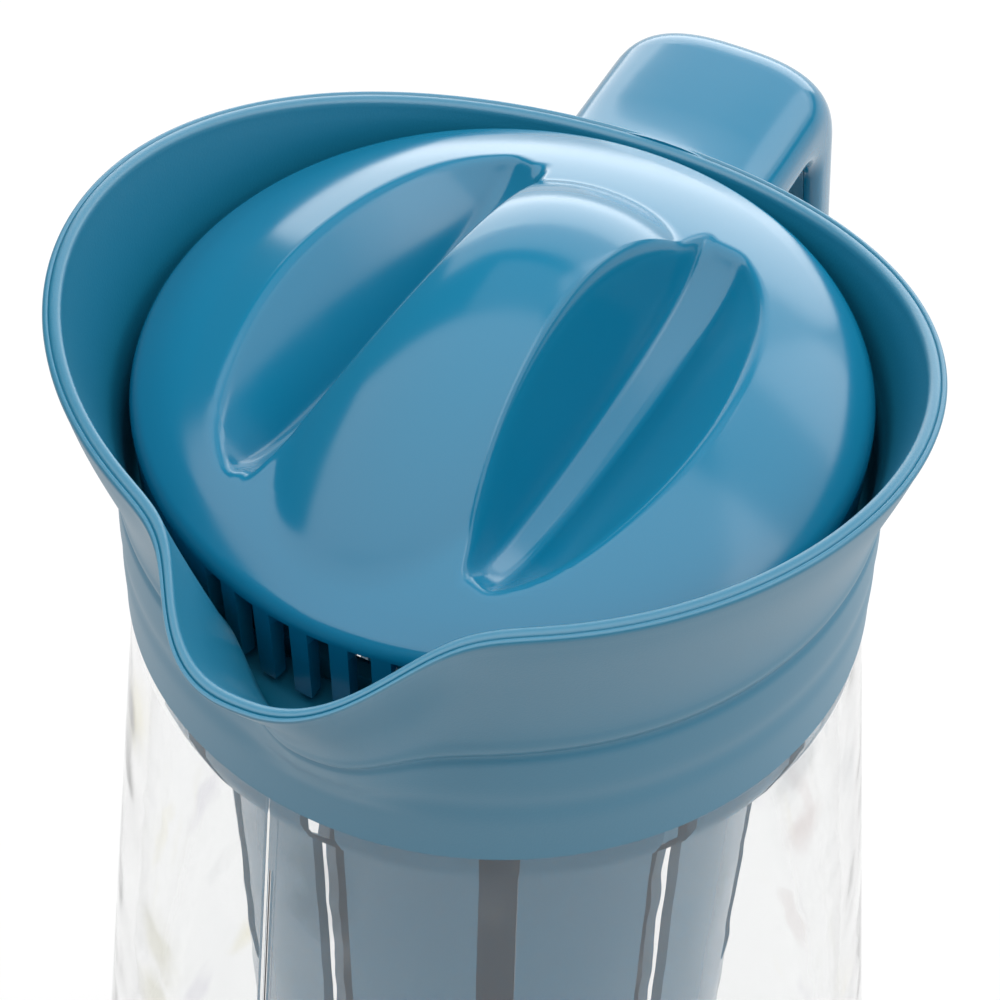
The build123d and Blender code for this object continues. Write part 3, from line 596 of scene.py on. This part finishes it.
    def line_up(self, lid, points):
        """Shifts the columns of points round the axis so that the comb's edges fall on them."""
        marks = self.comb_marks(lid)
        steps = [0, HALF_BAR_COLUMNS] + [SLOT_COLUMNS] * (len(marks) - 2)
        columns = np.cumsum(steps) * 360 / LID_COLUMNS
        angle = np.degrees(np.arctan2(points[:, 1], -points[:, 0]))
        shifted = np.sign(angle) * np.interp(np.abs(angle), [*columns, 180], [*marks, 180])
        radius = np.hypot(points[:, 0], points[:, 1])
        points[:, 0] = -radius * np.cos(np.radians(shifted))
        points[:, 1] = radius * np.sin(np.radians(shifted))
        return points

    def cut_comb(self, piece, lid):
        """Opens the slots of the comb in the wall, trims the bars and closes their sides."""
        marks = self.comb_marks(lid)
        bpy.ops.object.mode_set(mode="EDIT")
        bpy.ops.mesh.select_mode(type="FACE")
        bpy.ops.mesh.select_all(action="DESELECT")
        shell = bmesh.from_edit_mesh(piece.data)
        for face in shell.faces:
            middle = face.calc_center_median() / MM
            angle = abs(math.degrees(math.atan2(middle.y, -middle.x)))
            height = middle.z - COLLAR_Z
            radius = math.hypot(middle.x, middle.y)
            top = COMB_INNER_TOP if radius < COMB_WALL_MIDDLE else COMB_TOP
            if angle > marks[-1] or radius < COMB_INNER_RADIUS or height > top:
                continue
            in_slot = any(low < angle < high for low, high in zip(marks[1::2], marks[2::2]))
            face.select_set(in_slot or height < COMB_FOOT)
        bmesh.update_edit_mesh(piece.data)
        bpy.ops.mesh.delete(type="FACE")
        bpy.ops.mesh.select_mode(type="EDGE")
        bpy.ops.mesh.select_all(action="DESELECT")
        shell = bmesh.from_edit_mesh(piece.data)
        for edge in shell.edges:
            ends = [math.hypot(v.co.x, v.co.y) for v in edge.verts]
            edge.select_set(edge.is_boundary and abs(ends[0] - ends[1]) < MM)
        bmesh.update_edit_mesh(piece.data)
        bpy.ops.mesh.bridge_edge_loops()
        bpy.ops.mesh.select_all(action="SELECT")
        bpy.ops.mesh.normals_make_consistent(inside=False)
        bpy.ops.object.mode_set(mode="OBJECT")


class PITCHER_OT_collar(bpy.types.Operator):
    """Shape the collar with its grooved rim, creased band and spout"""
    bl_idname = "pitcher.collar"
    bl_label = "Collar"

    def execute(self, context):
        collar = context.scene.pitcher_collar
        piece = spun_ring("collar_shell", self.profile(), COLLAR_COLUMNS)
        points = places(piece)
        radius = np.hypot(points[:, 0], points[:, 1])
        angle = np.degrees(np.arctan2(points[:, 1], -points[:, 0]))
        rim = self.rim(collar, angle)
        drawn = points[:, 2]
        rim_depth = RIM_DRAWN - STRETCH_TOP
        share = (rim - rim_depth - STRETCH_LOW) / (STRETCH_TOP - STRETCH_LOW)
        height = np.where(drawn < STRETCH_LOW, drawn, STRETCH_LOW + (drawn - STRETCH_LOW) * share)
        height = np.where(drawn > STRETCH_TOP, rim - (RIM_DRAWN - drawn), height)
        bowl = np.where(drawn < STRETCH_LOW, radius, bowl_radius(height) + radius - bowl_radius(drawn))
        width = bowl + self.swell(collar, height, angle) * smooth_step(radius, *SPOUT_SKIN)
        width -= self.creases(height, angle) * smooth_step(radius - bowl_radius(drawn), *CREASE_SKIN)
        points[:, 0] = -width * np.cos(np.radians(angle))
        points[:, 1] = width * np.sin(np.radians(angle))
        points[:, 2] = height
        put_places(piece, points)
        satin = satin_plastic(context.scene.pitcher_finishes)
        finish_piece(piece, "collar", "jug", satin, sharp_angle=50)
        return {"FINISHED"}

    def swell(self, collar, height, angle):
        """How far the spout stands out of the round wall."""
        top = collar.peak[1]
        rise = np.clip((height - collar.reach_start) / (top - collar.reach_start), 0, None)
        below = top - np.clip(height, collar.reach_start, BOWL_HEIGHTS[-1])
        spread = collar.spread - collar.narrowing * below / (top - BAND_TOP)
        return collar.reach * rise * np.exp(-(np.abs(angle) / spread) ** collar.bluntness)

    def rim(self, collar, angle):
        """Height of the rim round the collar, cut by two arcs seen from the side."""
        height = np.full_like(angle, RIM_DRAWN)
        for _ in range(3):
            x = -(bowl_radius(height) + self.swell(collar, height, angle)) * np.cos(np.radians(angle))
            side = np.where(x < collar.peak[0], collar.front_radius, collar.back_radius)
            height = collar.peak[1] - side + np.sqrt(side ** 2 - (x - collar.peak[0]) ** 2)
        return height

    def creases(self, height, angle):
        """Depth of the moulded creases in the outside: one under the bowl and a softer one in the band."""
        over = height - (CREASE_LINE - CREASE_DIP * bell(angle, CREASE_DIP_SPREAD))
        sharp = CREASE_DEPTH * bell(over, CREASE_WIDTH) - LIP_DEPTH * bell(over - LIP_RISE, LIP_WIDTH)
        soft = LOW_CREASE_DEPTH * bell(height - LOW_CREASE_LINE, LOW_CREASE_WIDTH)
        return sharp + soft

    def profile(self):
        """Half section of the collar with its rim drawn at one height."""
        # The heights stand closest round the two creases
        band = (0, 0.4, 2, 4, *np.arange(6, 18, 0.8), *np.arange(18, STRETCH_LOW, 0.45))
        heights = (*band, *np.arange(STRETCH_LOW, STRETCH_TOP + 0.1, 1.35))
        outside = [(float(bowl_radius(h)), h) for h in heights]
        rim_out = float(bowl_radius(RIM_DRAWN))
        rim = [(rim_out - inward, RIM_DRAWN - below) for inward, below in RIM_SECTION]
        funnel = np.polyfit(FUNNEL_HEIGHTS, (*FUNNEL_RADII, rim_out - RIM_WALL), 3)
        inside = [(float(np.polyval(funnel, h)), h) for h in np.arange(52.0, 31.8, -1.2)]
        bore = [(51.3, 31.4), (50.9, 29.0), (50.6, 26.0), (50.3, 23.0), (50.0, 20.6), (49.7, 19.8),
                (49.2, LEDGE)]
        floor = [(48.0, LEDGE), (46.0, LEDGE), (44.0, LEDGE), (43.5, 19.4), (THROAT, 19.0)]
        throat = [(THROAT, 5.3), (43.4, 5.0), (44.7, 5.0), (THROAT_OUTER, 5.2), (THROAT_OUTER, LEDGE_UNDER)]
        under = [(SKIRT_BORE, LEDGE_UNDER), (SKIRT_BORE, 5.6), (49.0, 4.6), (49.0, 2.4), (SKIRT_BORE, 1.4),
                 (SKIRT_BORE, 0)]
        return outside + rim + inside + bore + floor + throat + under


class PITCHER_OT_handle(bpy.types.Operator):
    """Shape the strap handle with its round back and the recess for its inner strip"""
    bl_idname = "pitcher.handle"
    bl_label = "Handle"

    def execute(self, context):
        handle = context.scene.pitcher_handle
        outer = self.bent_line(self.corners(handle, 0.0), handle.outer_rounds)
        finger = self.bent_line(self.corners(handle, handle.depth), handle.finger_rounds)
        run = np.concatenate([[0], np.cumsum(np.linalg.norm(np.diff(finger, axis=0), axis=1))])
        stations = self.stations(run)
        closed = self.section(handle, 0.0)
        bpy.ops.object.select_all(action="DESELECT")
        bpy.ops.mesh.primitive_grid_add(
            x_subdivisions=len(closed), y_subdivisions=len(stations) - 1, size=1)
        piece = bpy.context.object
        piece.name = "handle"
        rows = [self.row(handle, outer, finger, run, *station) for station in stations]
        put_places(piece, np.concatenate(rows))
        bpy.ops.object.mode_set(mode="EDIT")
        bpy.ops.mesh.select_all(action="SELECT")
        bpy.ops.mesh.remove_doubles(threshold=0.01 * MM)
        bpy.ops.mesh.fill_holes(sides=0)
        bpy.ops.mesh.normals_make_consistent(inside=False)
        bpy.ops.object.mode_set(mode="OBJECT")
        gloss = glossy_plastic(context.scene.pitcher_finishes)
        finish_piece(piece, "handle_shell", "jug", gloss, sharp_angle=40)
        return {"FINISHED"}

    def corners(self, handle, depth):
        """The strap's corners in side view, at a depth under its outer face."""
        drawn = [Vector(corner) for corner in (handle.start, handle.knee, handle.heel, handle.end)]
        ways = [(b - a).normalized() for a, b in zip(drawn, drawn[1:])]
        inward = [Vector((way.y, -way.x)) for way in ways]
        moved = [drawn[0] + inward[0] * depth]
        for corner, one, other in zip(drawn[1:], inward, inward[1:]):
            moved.append(corner + (one + other) * depth / (1 + one.dot(other)))
        return moved + [drawn[-1] + inward[-1] * depth]

    def bent_line(self, corners, rounds):
        """Points along straight runs with rounded bends, as many on each line."""
        points = [corners[0]]
        for before, corner, after, radius in zip(corners, corners[1:], corners[2:], rounds):
            one, other = (before - corner).normalized(), (after - corner).normalized()
            half = one.angle(other) / 2
            middle = corner + (one + other).normalized() * radius / math.sin(half)
            start = corner + one * radius / math.tan(half) - middle
            sweep = -(math.pi - 2 * half)
            for turn in np.linspace(0, sweep, BEND_POINTS):
                points.append(middle + Matrix.Rotation(turn, 2) @ start)
        return np.array([*points, corners[-1]])

    def stations(self, run):
        """Where sections stand: place on the finger side, whether recessed, how far the end is drawn in."""
        total = run[-1]
        first, last = INSERT_START, total - HANDLE_FOOT
        bends = run[(run > first) & (run < last)]
        along = sorted({*bends, *np.arange(first + STATION_LEAD, last, STATION_STEP)})
        ends = [(total - HANDLE_END_ROUND * (1 - math.sin(a)), False, HANDLE_END_ROUND * (1 - math.cos(a)))
                for a in np.radians(np.linspace(0, 90, 6))]
        begin = [(0.0, False, 0.0), (first / 2, False, 0.0), (first, False, 0.0), (first, True, 0.0)]
        return begin + [(s, True, 0.0) for s in along] + [(last, True, 0.0), (last, False, 0.0)] + ends

    def section(self, handle, recess):
        """Closed section of the strap as place across it and depth, starting in the finger face."""
        half, depth, crown = handle.width / 2, handle.depth, handle.crown
        power = 2 / handle.fullness
        turns = np.radians(np.linspace(0, 180, 37))
        back = [(half * np.sign(math.cos(t)) * abs(math.cos(t)) ** power, crown * (1 - math.sin(t) ** power))
                for t in turns]
        round_off = np.radians(np.linspace(0, 90, 6))
        lip = [(half - STRAP_LIP_ROUND * (1 - math.cos(t)), depth - STRAP_LIP_ROUND * (1 - math.sin(t)))
               for t in round_off]
        groove = [(half - STRAP_SKIN, depth), (half - STRAP_SKIN, depth - recess)]
        left = [(-y, d) for y, d in lip + groove]
        return list(reversed(lip + groove)) + back + left

    def row(self, handle, outer, finger, run, place, recessed, drawn_in):
        """Points of one section in the pitcher's frame."""
        section = np.array(self.section(handle, handle.insert_depth if recessed else 0.0))
        section = np.concatenate([section, section[:1]])
        middle = np.array([0, handle.depth / 2])
        limits = np.array([handle.width / 2, handle.depth / 2])
        section = middle + (section - middle) * (1 - drawn_in / limits)
        top = np.array([np.interp(place, run, outer[:, axis]) for axis in (0, 1)])
        under = np.array([np.interp(place, run, finger[:, axis]) for axis in (0, 1)])
        side = top + (under - top) * (section[:, 1:] / handle.depth)
        x = side[:, 0]
        if place == 0.0:
            x = np.sqrt((bowl_radius(side[:, 1]) - ROOT_DEPTH) ** 2 - section[:, 0] ** 2)
        return np.stack([x, section[:, 0], side[:, 1]], axis=1)


class PITCHER_OT_solids(bpy.types.Operator):
    """Give the solids that stay in view their finish"""
    bl_idname = "pitcher.solids"
    bl_label = "Dress solids"

    def execute(self, context):
        finishes = context.scene.pitcher_finishes
        gloss = glossy_plastic(finishes)
        satin = satin_plastic(finishes)
        rubber = silicone()
        dress_node("infuser_tube", gloss)
        for name in ("lid_liner", "handle_insert"):
            dress_node(name, satin)
        for name in ("lid_seal", "collar_seal"):
            dress_node(name, rubber)
        dress_node("glass_jug", clear_glass())
        return {"FINISHED"}


# Stage

class PITCHER_OT_stage(bpy.types.Operator):
    """Add the pale floor, the studio light and the photograph's camera"""
    bl_idname = "pitcher.stage"
    bl_label = "Stage"

    def execute(self, context):
        view = context.scene.pitcher_view
        far = Vector((math.cos(view.heading), math.sin(view.heading), 0))
        right = Vector((far.y, -far.x, 0))
        self.add_floor()
        self.add_world(context.scene)
        axes = Matrix((far, right, UP)).transposed()
        for name, offset, back, upward, size, power in SOFT_BOXES:
            place = Vector((0, 0, LIGHT_CENTRE)) + axes @ Vector(offset)
            self.add_lamp(name, place, axes @ Vector(back), axes @ Vector(upward), size, power)
        self.add_camera(context.scene, view, far, right)
        return {"FINISHED"}

    def add_floor(self):
        bpy.ops.mesh.primitive_plane_add(size=FLOOR_SIZE)
        floor = bpy.context.object
        floor.name = "floor"
        material, tree = new_material("pale_floor")
        ray = add_node(tree, "ShaderNodeLightPath")
        seen = add_node(tree, "ShaderNodeMath", {
            0: ray.outputs["Is Camera Ray"], 1: ray.outputs["Is Glossy Ray"]}, operation="MAXIMUM")
        shown = add_node(tree, "ShaderNodeMath", {
            0: seen.outputs[0], 1: ray.outputs["Is Transmission Ray"]}, operation="MAXIMUM")
        part = add_node(tree, "ShaderNodeMath", {0: shown.outputs[0], 1: FLOOR_GLOW}, operation="MULTIPLY")
        paint = add_node(tree, "ShaderNodeBsdfDiffuse", {"Color": (0.8, 0.8, 0.8, 1)})
        glow = add_node(tree, "ShaderNodeEmission", {"Color": (1, 1, 1, 1), "Strength": 1.0})
        mixed = add_node(tree, "ShaderNodeMixShader", {
            0: part.outputs[0], 1: paint.outputs[0], 2: glow.outputs[0]})
        add_node(tree, "ShaderNodeOutputMaterial", {"Surface": mixed.outputs[0]})
        floor.data.materials.append(material)

    def add_world(self, scene):
        scene.world = bpy.data.worlds.new("studio")
        scene.world.use_nodes = True
        tree = scene.world.node_tree
        tree.nodes.clear()
        ray = add_node(tree, "ShaderNodeLightPath")
        room = add_node(tree, "ShaderNodeBackground", {"Color": (1, 1, 1, 1), "Strength": ROOM_LIGHT})
        white = add_node(tree, "ShaderNodeBackground", {"Color": (1, 1, 1, 1), "Strength": 1.0})
        shown = add_node(tree, "ShaderNodeMath", {
            0: ray.outputs["Is Camera Ray"], 1: ray.outputs["Is Transmission Ray"]}, operation="MAXIMUM")
        mixed = add_node(tree, "ShaderNodeMixShader", {
            0: shown.outputs[0], 1: room.outputs[0], 2: white.outputs[0]})
        add_node(tree, "ShaderNodeOutputWorld", {"Surface": mixed.outputs[0]})
        scene.view_settings.view_transform = "Standard"

    def add_lamp(self, name, place, back, upward, size, power):
        """A soft box at a place, shining away from its back, its second size along the upward direction."""
        bpy.ops.object.light_add(type="AREA")
        lamp = bpy.context.object
        lamp.name = name
        lamp.data.shape = "RECTANGLE"
        lamp.data.size, lamp.data.size_y = size
        lamp.data.energy = power
        back = back.normalized()
        across = upward.cross(back).normalized()
        turn = Matrix((across, back.cross(across), back)).transposed().to_4x4()
        lamp.matrix_world = Matrix.Translation(place) @ turn

    def add_camera(self, scene, view, far, right):
        bpy.ops.object.camera_add()
        camera = bpy.context.object
        camera.name = "photo_camera"
        back = Vector((0, 0, math.sin(view.pitch))) - far * math.cos(view.pitch)
        above = back.cross(right)
        across = math.cos(view.roll) * right + math.sin(view.roll) * above
        upward = math.cos(view.roll) * above - math.sin(view.roll) * right
        turn = Matrix((across, upward, back)).transposed().to_4x4()
        camera.matrix_world = Matrix.Translation(view.place) @ turn
        camera.data.sensor_width = 36.0
        camera.data.lens = view.lens
        camera.data.clip_start = 0.01
        camera.data.clip_end = 100.0
        scene.camera = camera


class PITCHER_PT_panel(bpy.types.Panel):
    """Lists the pitcher's pieces"""
    bl_label = "Infuser pitcher"
    bl_idname = "PITCHER_PT_panel"
    bl_space_type = "VIEW_3D"
    bl_region_type = "UI"
    bl_category = "Pitcher"

    def draw(self, context):
        for operator in OPERATORS:
            self.layout.operator(operator.bl_idname)


GROUPS = {
    "pitcher_finishes": PitcherFinishes,
    "pitcher_lid": PitcherLid,
    "pitcher_handle": PitcherHandle,
    "pitcher_collar": PitcherCollar,
    "pitcher_view": PitcherView,
}
OPERATORS = (PITCHER_OT_lid, PITCHER_OT_collar, PITCHER_OT_handle, PITCHER_OT_solids, PITCHER_OT_stage)


def register():
    for cls in (*GROUPS.values(), *OPERATORS, PITCHER_PT_panel):
        bpy.utils.register_class(cls)
    for name, group in GROUPS.items():
        setattr(bpy.types.Scene, name, bpy.props.PointerProperty(type=group))


def unregister():
    for name in GROUPS:
        delattr(bpy.types.Scene, name)
    for cls in reversed((*GROUPS.values(), *OPERATORS, PITCHER_PT_panel)):
        bpy.utils.unregister_class(cls)


def main():
    register()
    bpy.ops.pitcher.lid()
    bpy.ops.pitcher.collar()
    bpy.ops.pitcher.handle()
    bpy.ops.pitcher.solids()
    bpy.ops.pitcher.stage()


if __name__ == "__main__":
    main()
